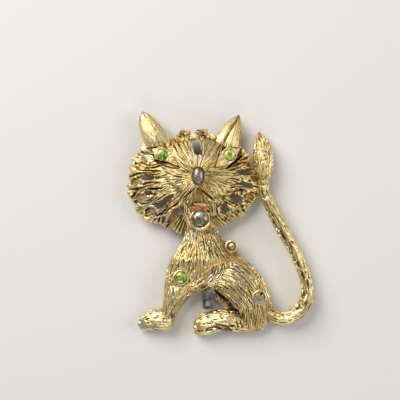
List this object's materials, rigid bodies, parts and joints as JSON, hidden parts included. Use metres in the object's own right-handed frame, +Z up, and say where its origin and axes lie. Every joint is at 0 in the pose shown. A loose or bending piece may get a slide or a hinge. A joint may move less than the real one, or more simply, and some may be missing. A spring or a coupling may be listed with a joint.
{
  "type": "figural animal brooch",
  "caption": "Gold-tone brooch of a seated cat with a domed fur face, long curved tail, green stone eyes and a bar pin on the back.",
  "frame": {"origin": "middle of the figure's outline, on the surface that the brooch lies on", "axes": "+Z up out of the face, +Y towards the ears, +X to the viewer's right; it lies face up"},
  "size_m": [0.0423, 0.0509, 0.0099],
  "materials": {
    "gold_body": "worn gold plate on a cast body, dark in the grooves",
    "gold_head": "worn gold plate on a cast head, dark in the grooves",
    "nose_metal": "grey metal bead with its plating worn off",
    "red_enamel": "red enamel, chipped at one side",
    "grey_stone": "faceted grey glass with a dull foil",
    "green_stone": "faceted light green glass with a foil",
    "steel": "plated steel"
  },
  "bodies": {
    "root": {"body": "gold_body", "head": "gold_head", "nose": "nose_metal", "mouth_enamel": "red_enamel", "chin_stone": "grey_stone", "eye_stone_left": "green_stone", "eye_stone_right": "green_stone", "chest_stone": "green_stone", "pin_back": "steel"}
  },
  "joints": []
}
